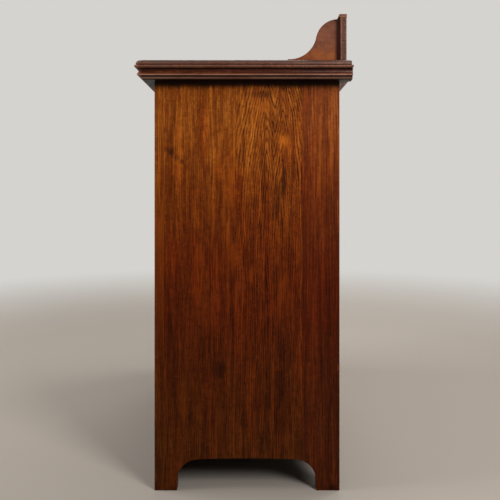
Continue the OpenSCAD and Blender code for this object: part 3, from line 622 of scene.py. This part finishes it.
# The top's two front corners, which are rubbed pale: where they start along Y and along X
CORNER_DEEP = -0.212
CORNER_FADE = 12 * MM
CORNER_ACROSS = 0.438
MOULDING_DARK = paint(20, 7, 3)
MOULDING_MIDDLE = paint(69, 27, 10)
MOULDING_LIGHT = paint(130, 74, 38)
# Pale of rubbed wood, and of painted highlights on the crests
RUBBED_AND_HIGHLIGHT = paint(165, 118, 95)
# Grey of dust and of painted sheen
DUST_AND_SHEEN_GREY = paint(140, 104, 88)


def moulding(node, along, across, board, level=0.5):
    """Dark polished oak whose crests and corners are rubbed pale, with painted highlights on the
    crests, painted sheen on two slopes and painted shade in the grooves.
    """
    finish = Finish("moulding_" + node)
    tree = finish.tree
    board_place = finish.on_board(along, across)
    grain = tree.use(OAK, Vector=board_place, Board=float(board), Heart=0.4, Second_Heart=0.46,
                     Second_Drop=0.05, Taper=0.012, Ring_Width=0.0045, Wander=0.012,
                     Line_Strength=0.2, Level=level, Dark=MOULDING_DARK, Middle=MOULDING_MIDDLE,
                     Light=MOULDING_LIGHT)
    colour = grain["Color"]
    x, deep, height = tree.parts(finish.place)
    patchy = tree.fade(tree.streaks(board_place, 0.25, 34.0, 4.0, 0.65), 0.3, 0.62, 0.45, 1.0)
    # Dust with painted sheen, rubbed crests with painted highlights, and dirt with painted shade
    for bands, shade, cover in ((DUST_AND_SHEEN, DUST_AND_SHEEN_GREY, patchy), (RUBBED_AND_LIT_CRESTS, RUBBED_AND_HIGHLIGHT, patchy),
                                (SHADED_HOLLOWS, SHADE_AND_DIRT, 1.0)):
        for middle, half, strength in bands:
            off = tree.calc("ABSOLUTE", tree.calc("SUBTRACT", height, UNDER_TOP + middle))
            band = tree.times(tree.fade(off, half * 0.4, half, 1.0, 0.0), cover)
            colour = tree.blend(tree.times(band, strength), colour, shade)
    past = tree.calc("GREATER_THAN", tree.calc("ABSOLUTE", x), CORNER_ACROSS)
    corner = tree.times(tree.fade(deep, CORNER_DEEP - CORNER_FADE, CORNER_DEEP, 1.0, 0.0), past)
    colour = tree.blend(tree.times(corner, tree.times(patchy, 0.35)), colour, RUBBED_AND_HIGHLIGHT)
    finish.set(Base_Color=colour, Roughness=grain["Roughness"], Specular_IOR_Level=0.12)
    finish.relief(grain["Height"], SMOOTHER_GRAIN_DEPTH)
    return finish.material


BRACKET_DARK = paint(70, 32, 18)
BRACKET_MIDDLE = paint(115, 67, 46)
BRACKET_LIGHT = paint(160, 100, 70)
# The bracket's orange foot, where the polish has worn thin
BRACKET_FOOT = paint(138, 72, 28)
# Painted shadow in the bracket's rear corner, cast by the end of the gallery that stands out past
# it
BRACKET_CORNER_SHADOW = paint(80, 45, 33)


def bracket_finish(node, board):
    """Cloudy brown oak, grey at the top and orange at the foot, with a painted shadow along its
    rear corner.
    """
    finish = Finish("oak_" + node)
    tree = finish.tree
    grain = tree.use(OAK, Vector=finish.on_board(DEEP, UP), Board=float(board), Heart=0.6,
                     Second_Heart=0.65, Second_Drop=0.05, Taper=0.02, Ring_Width=0.006,
                     Wander=0.02, Line_Strength=0.08, Level=0.5, Contrast=0.45,
                     Dark=BRACKET_DARK, Middle=BRACKET_MIDDLE, Light=BRACKET_LIGHT)
    low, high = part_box(node)
    cloud = tree.noise(finish.place, 36.0, 4.0, 0.6)
    _, deep, height = tree.parts(finish.place)
    foot = tree.fade(tree.calc("MULTIPLY_ADD", cloud, -70 * MM, height),
                     low[2] - 35 * MM, low[2] + 30 * MM, 0.85, 0.0)
    colour = tree.blend(foot, grain["Color"], BRACKET_FOOT)
    colour = tree.blend(tree.fade(cloud, 0.35, 0.62, 0.42, 0.0), colour, BRACKET_DARK)
    colour = rub_edges(finish, colour, node, board, 3 * MM, 0.35, BRACKET_DARK)
    # Painted shadow of the gallery's end on the bracket's rear strip
    corner = tree.fade(deep, high[1] - 11 * MM, high[1] - 6 * MM, 0.0, 0.9)
    colour = tree.blend(corner, colour, BRACKET_CORNER_SHADOW)
    finish.set(Base_Color=colour, Roughness=grain["Roughness"], Specular_IOR_Level=0.12)
    finish.relief(grain["Height"], SMOOTHER_GRAIN_DEPTH)
    return finish.material


def aged_brass():
    """Old brass: rubbed bright where hands touch it, brown where they don't."""
    finish = Finish("brass")
    tree = finish.tree
    cloud = tree.noise(finish.place, 130.0, 4.0, 0.6)
    spots = tree.noise(finish.place, 900.0, 3.0, 0.65)
    tarnish = tree.calc("MULTIPLY_ADD", tree.fade(spots, 0.5, 0.75), 0.3,
                        tree.fade(cloud, 0.38, 0.68), clamp=True)
    finish.set(Base_Color=tree.blend(tarnish, paint(206, 168, 92), paint(108, 76, 36)),
               Metallic=1.0, Roughness=tree.fade(tarnish, 0.0, 1.0, 0.27, 0.52))
    finish.relief(spots, 0.05 * MM, 0.4)
    return finish.material


def dark_steel():
    """The key's steel, brown with age and worn bright in places."""
    finish = Finish("steel")
    tree = finish.tree
    rust = tree.noise(finish.place, 400.0, 4.0, 0.65)
    finish.set(Base_Color=tree.blend(tree.fade(rust, 0.45, 0.65), paint(120, 116, 110),
                                     paint(70, 52, 40)),
               Metallic=1.0, Roughness=tree.fade(rust, 0.3, 0.7, 0.32, 0.6))
    finish.relief(rust, 0.08 * MM, 0.5)
    return finish.material


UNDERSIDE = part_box("bottom_board")[0][2]
PINE_DARK = paint(112, 70, 36)
PINE_MIDDLE = paint(170, 124, 76)
PINE_LIGHT = paint(206, 166, 112)
PINE_DUST = paint(120, 96, 72)
PINE_JOINT = paint(52, 32, 18)
# The undersides near the floor, darkened to near black with age and with painted shade
PINE_UNDERSIDE_SHADE = paint(34, 22, 13)


def bare_pine(node, along, across, board, boards=1):
    """Unfinished pine, yellowed and dusty, in one board or several side by side along X, with
    painted shade on its undersides.
    """
    finish = Finish("pine_" + node)
    tree = finish.tree
    low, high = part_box(node)
    width = (high[0] - low[0]) / boards
    x, _, height = tree.parts(finish.place)
    counted = tree.calc("DIVIDE", tree.calc("SUBTRACT", x, low[0]), width)
    number = float(board)
    if boards > 1:
        number = tree.calc("MULTIPLY_ADD", tree.calc("FLOOR", counted), 1.7, number)
    level = tree.calc("MULTIPLY_ADD", tree.chance(number), 0.26, 0.46)
    grain = tree.use(OAK, Vector=finish.on_board(along, across), Board=number, Heart=0.11,
                     Second_Heart=0.21, Second_Drop=0.02, Taper=0.02, Ring_Width=0.006,
                     Wander=0.02, Line_Strength=0.3, Level=level, Dark=PINE_DARK,
                     Middle=PINE_MIDDLE, Light=PINE_LIGHT)
    dust = tree.fade(tree.noise(finish.place, 9.0, 4.0, 0.6), 0.45, 0.8, 0.0, 0.45)
    colour = tree.blend(dust, grain["Color"], PINE_DUST)
    if boards > 1:
        from_middle = tree.calc("ABSOLUTE", tree.swing(tree.calc("FRACT", counted)))
        joint = tree.fade(from_middle, 0.5 - 1.6 * MM / width, 0.5 - 0.2 * MM / width, 0.0, 0.8)
        colour = tree.blend(joint, colour, PINE_JOINT)
    # Painted shade, with the dark of age, on the undersides
    under = tree.fade(height, UNDERSIDE, UNDERSIDE + 4 * MM, 0.9, 0.0)
    finish.set(Base_Color=tree.blend(under, colour, PINE_UNDERSIDE_SHADE), Roughness=0.78,
               Specular_IOR_Level=0.2)
    finish.relief(grain["Height"], SMOOTHER_GRAIN_DEPTH)
    return finish.material


# Dressing the CAD nodes

WOOD_ARRIS = 0.8 * MM
BRASS_ARRIS = 0.25 * MM
KEY_ARRIS = 0.2 * MM
WELD_REACH = 0.01 * MM
# Corners sharper than this are softened
ARRIS_ANGLE = math.radians(32)
# Redder and greyer oak of the gallery
GALLERY_MIDDLE = paint(92, 53, 40)
GALLERY_LIGHT = paint(150, 98, 74)
# Greyer brown of the gallery's cap, which has been wiped and polished most
TOP_DARK = paint(30, 15, 9)
TOP_MIDDLE = paint(92, 50, 27)
TOP_LIGHT = paint(158, 104, 66)
# The doors' panels have wider and stronger rings than the wood round them
DOOR_PANEL_RINGS = {"lines": 0.5, "width": 0.0065}
DOOR_FRAME_RINGS = {"lines": 0.3, "width": 0.0045}
BACK_BOARD_COUNT = 6


def dress(name, material, arris=WOOD_ARRIS):
    """Gives a CAD node its material and softens its arrises, leaving its own mesh alone."""
    piece = nodes[name]
    piece.data.materials.clear()
    piece.data.materials.append(material)
    weld = piece.modifiers.new("weld", "WELD")
    weld.merge_threshold = WELD_REACH
    soft = piece.modifiers.new("soft_edges", "BEVEL")
    soft.width = arris
    soft.segments = 2
    soft.limit_method = "ANGLE"
    soft.angle_limit = ARRIS_ANGLE


def dress_door(side, brass):
    """The wood of one door, and the brass of its hinges and its handle."""
    end = SIDE_NAMES[side]
    for number, (part, along, across, heart, taper) in enumerate((
            ("hinge_stile", UP, ACROSS, 0.5, 0.012), ("meeting_stile", UP, ACROSS, 0.3, -0.01),
            ("top_rail", ACROSS, UP, 1.3, 0.02), ("bottom_rail", ACROSS, UP, 0.6, 0.02),
            ("panel", UP, ACROSS, 0.17, 0.08), ("bead", UP, ACROSS, 0.6, 0.0))):
        node = "door_" + end + "_" + part
        rings = DOOR_PANEL_RINGS if part == "panel" else DOOR_FRAME_RINGS
        dress(node, oak_board(node, along, across, 50 + 12 * side + number, heart=heart * side,
                              taper=taper, **rings))
    for name in ("hinge_leaves_frame_", "hinge_leaves_door_", "hinge_pins_", "handle_plate_",
                 "handle_drop_"):
        dress(name + end, brass, BRASS_ARRIS)


def dress_side(side, brass):
    """The pieces that there are two of, one at each end."""
    end = SIDE_NAMES[side]
    dress("side_panel_" + end, side_panel_finish(side))
    dress("face_stile_" + end, oak_board(
        "face_stile_" + end, UP, DEEP, 20 + side, level=0.55, lines=0.25, contrast=0.9,
        polish=0.06, wear=0.12, bleached=(0.47, 0.17, 0.3)))
    dress("gallery_bracket_" + end, bracket_finish("gallery_bracket_" + end, 30 + side))
    dress("cornice_" + end, moulding("cornice_" + end, DEEP, UP, 34 + side))
    dress("shelf_bearer_" + end, bare_pine("shelf_bearer_" + end, DEEP, UP, 40 + side))
    dress_door(side, brass)


def dress_all():
    brass = aged_brass()
    for side in (RIGHT, LEFT):
        dress_side(side, brass)
    for name in ("lock_case", "lock_bolt", "escutcheon", "lock_staple", "bolt_case_top",
                 "bolt_case_bottom", "bolt_rod_top", "bolt_rod_bottom", "bolt_keeper_top",
                 "bolt_keeper_bottom"):
        dress(name, brass, BRASS_ARRIS)
    dress("key", dark_steel(), KEY_ARRIS)
    dress("frieze_rail", oak_board("frieze_rail", ACROSS, UP, 80))
    dress("plinth_rail", oak_board("plinth_rail", ACROSS, UP, 81))
    dress("top_board", moulding("top_board", ACROSS, DEEP, 82, level=0.55))
    dress("cornice_front", moulding("cornice_front", ACROSS, UP, 83))
    dress("rear_batten", oak_board("rear_batten", ACROSS, UP, 84, level=0.35, faded_and_shaded=False,
                                   polish=0.3))
    dress("gallery_back", oak_board(
        "gallery_back", ACROSS, UP, 85, heart=0.96, taper=0.03, level=0.4, faded_and_shaded=False,
        polish=0.2, dark=TOP_DARK, middle=GALLERY_MIDDLE, light=GALLERY_LIGHT))
    dress("gallery_cap", oak_board(
        "gallery_cap", ACROSS, DEEP, 86, level=0.45, faded_and_shaded=False, polish=0.3, dark=TOP_DARK,
        middle=TOP_MIDDLE, light=TOP_LIGHT))
    dress("back_boards", bare_pine("back_boards", UP, ACROSS, 90, boards=BACK_BOARD_COUNT))
    for number, (node, along, across) in enumerate((
            ("bottom_board", ACROSS, DEEP), ("shelf", ACROSS, DEEP),
            ("top_rail_front", ACROSS, DEEP), ("top_rail_rear", ACROSS, DEEP),
            ("glue_blocks", UP, ACROSS), ("door_stops", ACROSS, UP))):
        dress(node, bare_pine(node, along, across, 101 + number))


# Screws, pins, nails and pegs, which the CAD leaves out

# Their heads: radius, rise, and the width of a screw's slot
HINGE_SCREW = (3.0 * MM, 0.3 * MM, 0.7 * MM)
LOCK_SCREW = (2.4 * MM, 0.5 * MM, 0.7 * MM)
BOLT_SCREW = (2.2 * MM, 0.5 * MM, 0.6 * MM)
TOP_KEEPER_SCREW = (2.0 * MM, 0.4 * MM, 0.6 * MM)
BOTTOM_KEEPER_SCREW = (2.0 * MM, 0.3 * MM, 0.6 * MM)
HANDLE_PIN = (1.2 * MM, 0.7 * MM)
ESCUTCHEON_PIN = (1.1 * MM, 0.5 * MM)
PEG = (3.2 * MM, 0.5 * MM)
NAIL = (2.3 * MM, 0.3 * MM)
# A head's outline, as shares of its radius and of its rise
HEAD_OUTLINE = ((0.0, 1.0), (0.55, 0.88), (0.85, 0.5), (1.0, 0.1), (1.0, -1.0), (0.0, -1.0))
# The slot is cut from the faces that look up by more than this, down to this share of the rise
SLOT_FACES = 0.2
SLOT_FLOOR = 0.1
HEAD_SIDES = 16
# Each head is turned by this much from the one before it, in radians
HEAD_TURN = 2.4
HEAD_SHARP_ANGLE = math.radians(35)


def head_mesh(radius, rise, slot=0.0):
    """A low domed head that rises along +Z, with a driver slot where slot is its width."""
    bm = bmesh.new()
    points = [bm.verts.new((across * radius, 0.0, height * rise))
              for across, height in HEAD_OUTLINE]
    lines = [bm.edges.new(pair) for pair in zip(points, points[1:])]
    bmesh.ops.spin(bm, geom=points + lines, cent=(0, 0, 0), axis=(0, 0, 1), angle=math.tau,
                   steps=HEAD_SIDES, use_merge=True)
    bmesh.ops.remove_doubles(bm, verts=bm.verts[:], dist=0.001 * MM)
    bmesh.ops.recalc_face_normals(bm, faces=bm.faces[:])
    if slot:
        for edge in (-slot / 2, slot / 2):
            bmesh.ops.bisect_plane(bm, geom=bm.verts[:] + bm.edges[:] + bm.faces[:],
                                   plane_co=(edge, 0, 0), plane_no=(1, 0, 0))
        top = [face for face in bm.faces if face.normal.z > SLOT_FACES
               and abs(face.calc_center_median().x) < slot / 2]
        pushed = bmesh.ops.extrude_face_region(bm, geom=top)["geom"]
        for corner in pushed:
            if isinstance(corner, bmesh.types.BMVert):
                corner.co.z = SLOT_FLOOR * rise
        bmesh.ops.delete(bm, geom=top, context="FACES")
        bmesh.ops.recalc_face_normals(bm, faces=bm.faces[:])
    mesh = bpy.data.meshes.new("head")
    bm.to_mesh(mesh)
    bm.free()
    return mesh


def fasten(name, body, finish_slot, material, facing, places, radius, rise, slot=0.0):
    """One piece with a head on each of the places, moving with its body."""
    head = head_mesh(radius, rise, slot)
    square = facing.to_track_quat("Z", "Y").to_matrix().to_4x4()
    bm = bmesh.new()
    for number, place in enumerate(places):
        made = len(bm.verts)
        bm.from_mesh(head)
        bm.verts.ensure_lookup_table()
        turn = Matrix.Rotation(HEAD_TURN * number, 4, "Z")
        bmesh.ops.transform(bm, matrix=Matrix.Translation(place) @ square @ turn,
                            verts=bm.verts[made:])
    mesh = bpy.data.meshes.new(name)
    bm.to_mesh(mesh)
    bm.free()
    bpy.data.meshes.remove(head)
    mesh.shade_smooth()
    mesh.set_sharp_from_angle(angle=HEAD_SHARP_ANGLE)
    mesh.materials.append(material)
    piece = bpy.data.objects.new(name, mesh)
    bpy.context.scene.collection.objects.link(piece)
    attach(piece, body)


def peg_end():
    """End grain of an oak peg, darker than the board round it."""
    finish = Finish("peg")
    tree = finish.tree
    grain = tree.noise(finish.place, 900.0, 3.0, 0.6)
    colour = tree.blend(tree.fade(grain, 0.35, 0.65), paint(58, 24, 8), paint(110, 56, 22))
    finish.set(Base_Color=patina_and_shade(finish, colour), Roughness=0.6, Specular_IOR_Level=0.08)
    finish.relief(grain, 0.1 * MM)
    return finish.material


def inset(low, high, step):
    """The two places that are a step in from the ends."""
    return (low + step, high - step)


def fasten_hinges(side, brass):
    """Three screws in each leaf, the middle one nearer the knuckle."""
    end = SIDE_NAMES[side]
    low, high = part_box("hinge_leaves_frame_" + end)
    stile_low, stile_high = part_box("face_stile_" + end)
    door_low, door_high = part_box("door_" + end + "_hinge_stile")
    frame_edge = stile_low[0] if side == RIGHT else stile_high[0]
    door_edge = door_high[0] if side == RIGHT else door_low[0]
    spots = [(high[1] - depth, middle + step) for middle in inset(low[2], high[2], 32 * MM)
             for depth, step in ((10 * MM, -23 * MM), (6 * MM, 0.0), (10 * MM, 23 * MM))]
    for name, body, edge, facing in (
            ("hinge_screws_frame_", "carcase", frame_edge, -side * ACROSS),
            ("hinge_screws_door_", "door_" + end, door_edge, side * ACROSS)):
        places = [(edge, y, z) for y, z in spots]
        fasten(name + end, body, "brass", brass, facing, places, *HINGE_SCREW)


def fasten_locks(brass):
    """Screws of the lock, its staple, and the barrel bolts with their keepers."""
    low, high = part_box("lock_case")
    places = [(x, high[1], z) for x in inset(low[0], high[0], 5 * MM)
              for z in inset(low[2], high[2], 5 * MM)]
    fasten("lock_screws", "door_right", "brass", brass, DEEP, places, *LOCK_SCREW)
    low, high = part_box("lock_staple")
    places = [((low[0] + high[0]) / 2, low[1] + 2 * MM, z)
              for z in inset(low[2], high[2], 3.7 * MM)]
    fasten("staple_screws", "door_left", "brass", brass, DEEP, places, *LOCK_SCREW)
    for place in ("top", "bottom"):
        low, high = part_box("bolt_case_" + place)
        places = [(x, low[1] + 2 * MM, z) for x in inset(low[0], high[0], 2.8 * MM)
                  for z in inset(low[2], high[2], 22 * MM)]
        fasten("bolt_screws_" + place, "door_left", "brass", brass, DEEP, places, *BOLT_SCREW)
    low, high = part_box("bolt_keeper_top")
    places = [(x, high[1], (low[2] + high[2]) / 2) for x in inset(low[0], high[0], 3.2 * MM)]
    fasten("keeper_screws_top", "carcase", "brass", brass, DEEP, places, *TOP_KEEPER_SCREW)
    low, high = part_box("bolt_keeper_bottom")
    places = [(x, (low[1] + high[1]) / 2, high[2]) for x in inset(low[0], high[0], 3.4 * MM)]
    fasten("keeper_screws_bottom", "carcase", "brass", brass, UP, places, *BOTTOM_KEEPER_SCREW)


def fasten_door_front(side, brass, oak_peg):
    """Pins of the handle's plate, and pegs through the tenons of the door and the face frame."""
    end = SIDE_NAMES[side]
    door = "door_" + end
    low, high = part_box("handle_plate_" + end)
    middle = (low[0] + high[0]) / 2
    places = [(middle + step, high[1] - 3 * MM, (low[2] + high[2]) / 2)
              for step in (-10.2 * MM, 10.2 * MM)]
    fasten("handle_pins_" + end, door, "brass", brass, -DEEP, places, *HANDLE_PIN)
    places = []
    for stile, toward in (("_hinge_stile", side), ("_meeting_stile", -side)):
        low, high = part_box(door + stile)
        inner = low[0] if toward > 0 else high[0]
        for z in (low[2] + 24 * MM, low[2] + 50 * MM, high[2] - 42 * MM, high[2] - 20 * MM):
            places.append((inner + toward * 13 * MM, low[1], z))
    fasten("door_pegs_" + end, door, "oak", oak_peg, -DEEP, places, *PEG)
    low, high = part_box("face_stile_" + end)
    inner = low[0] if side == RIGHT else high[0]
    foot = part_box("plinth_rail")[1][2]
    places = [(inner + side * 12 * MM, low[1], z)
              for z in (foot - 52 * MM, foot - 20 * MM, high[2] - 44 * MM)]
    fasten("frame_pegs_" + end, "carcase", "oak", oak_peg, -DEEP, places, *PEG)


def fasten_back(steel):
    """Nails into the shelf and the bottom board, and along the rebates of the side panels."""
    low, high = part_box("back_boards")
    width = (high[0] - low[0]) / BACK_BOARD_COUNT
    places = [(low[0] + (number + share) * width, high[1], z)
              for number in range(BACK_BOARD_COUNT) for share in (0.2, 0.8)
              for z in (low[2] + 9 * MM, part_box("shelf")[0][2] + 8 * MM)]
    places += [(x, high[1], low[2] + (60 + 118 * step) * MM)
               for x in inset(low[0], high[0], 5 * MM) for step in range(7)]
    fasten("back_nails", "carcase", "steel", steel, DEEP, places, *NAIL)


def fasten_all():
    brass = nodes["escutcheon"].data.materials[0]
    steel = nodes["key"].data.materials[0]
    oak_peg = peg_end()
    for side in (RIGHT, LEFT):
        fasten_hinges(side, brass)
        fasten_door_front(side, brass, oak_peg)
    fasten_locks(brass)
    low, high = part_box("escutcheon")
    places = [((low[0] + high[0]) / 2, low[1], z) for z in inset(low[2], high[2], 3 * MM)]
    fasten("escutcheon_pins", "door_right", "brass", brass, -DEEP, places, *ESCUTCHEON_PIN)
    fasten_back(steel)


# Studio

FLOOR_RADIUS = 30.0
FLOOR_NEAR = paint(145, 137, 128)
# Distances from the middle of the object between which the floor melts into the background
FLOOR_FADE = (1.2, 3.2)
BACKGROUND = paint(213, 211, 207)
WORLD_COLOUR = (1.0, 0.985, 0.96, 1.0)
WORLD_LIGHT = 0.06
# Lamps: place, what they point at, width, height and power in watts
LAMPS = {
    "window_lamp": ((2.2, 1.6, 2.1), (0.42, 0.0, 0.60), 0.8, 1.4, 78.0),
    "top_lamp": ((0.5, 0.0, 3.3), (0.1, 0.0, 0.6), 2.4, 2.4, 32.0),
    "front_lamp": ((0.2, -3.0, 2.4), (0.0, -0.2, 0.5), 2.0, 2.0, 110.0),
    "rear_lamp": ((-1.0, 2.2, 3.2), (0.0, 0.2, 0.6), 1.6, 1.6, 60.0),
    "left_lamp": ((-3.0, 0.4, 2.4), (-0.4, 0.0, 0.6), 2.0, 2.0, 60.0),
}


def set_floor():
    """A pale floor that keeps the shadow and melts into the background further away."""
    mesh = bpy.data.meshes.new("floor")
    bm = bmesh.new()
    bmesh.ops.create_circle(bm, cap_ends=True, radius=FLOOR_RADIUS, segments=64)
    bm.to_mesh(mesh)
    bm.free()
    floor = bpy.data.objects.new("floor", mesh)
    bpy.context.scene.collection.objects.link(floor)
    finish = Finish("floor")
    tree = finish.tree
    away = tree.add("ShaderNodeVectorMath", finish.place, operation="LENGTH").outputs["Value"]
    finish.set(Base_Color=FLOOR_NEAR, Roughness=0.7, Specular_IOR_Level=0.1)
    glow = tree.add("ShaderNodeEmission", BACKGROUND, 1.0)
    mixed = tree.add("ShaderNodeMixShader", tree.fade(away, *FLOOR_FADE),
                     finish.shader.outputs[0], glow.outputs[0])
    output = finish.material.node_tree.nodes["Material Output"]
    tree.feed(output.inputs["Surface"], mixed.outputs[0])
    mesh.materials.append(finish.material)


def set_world():
    """Even grey light on the object, and a pale background behind it and in its reflections."""
    world = bpy.data.worlds.new("studio")
    world.use_nodes = True
    bpy.context.scene.world = world
    tree = Tree(world.node_tree)
    ray = tree.add("ShaderNodeLightPath").outputs
    mirrored = tree.calc("ADD", ray["Is Glossy Ray"], ray["Is Transmission Ray"])
    seen = tree.calc("ADD", ray["Is Camera Ray"], mirrored, clamp=True)
    background = tree.add("ShaderNodeBackground", BACKGROUND, 1.0)
    light = tree.add("ShaderNodeBackground", WORLD_COLOUR, WORLD_LIGHT)
    both = tree.add("ShaderNodeMixShader", seen, light.outputs[0], background.outputs[0])
    tree.feed(world.node_tree.nodes["World Output"].inputs["Surface"], both.outputs[0])


def set_lamps():
    for name, (place, target, width, height, power) in LAMPS.items():
        data = bpy.data.lights.new(name, "AREA")
        data.shape = "RECTANGLE"
        data.size = width
        data.size_y = height
        data.energy = power
        lamp = bpy.data.objects.new(name, data)
        lamp.location = place
        aim = Vector(target) - Vector(place)
        lamp.rotation_euler = aim.to_track_quat("-Z", "Y").to_euler()
        bpy.context.scene.collection.objects.link(lamp)


set_camera()
dress_all()
fasten_all()
set_floor()
set_world()
set_lamps()
bpy.context.scene.view_settings.view_transform = "Standard"
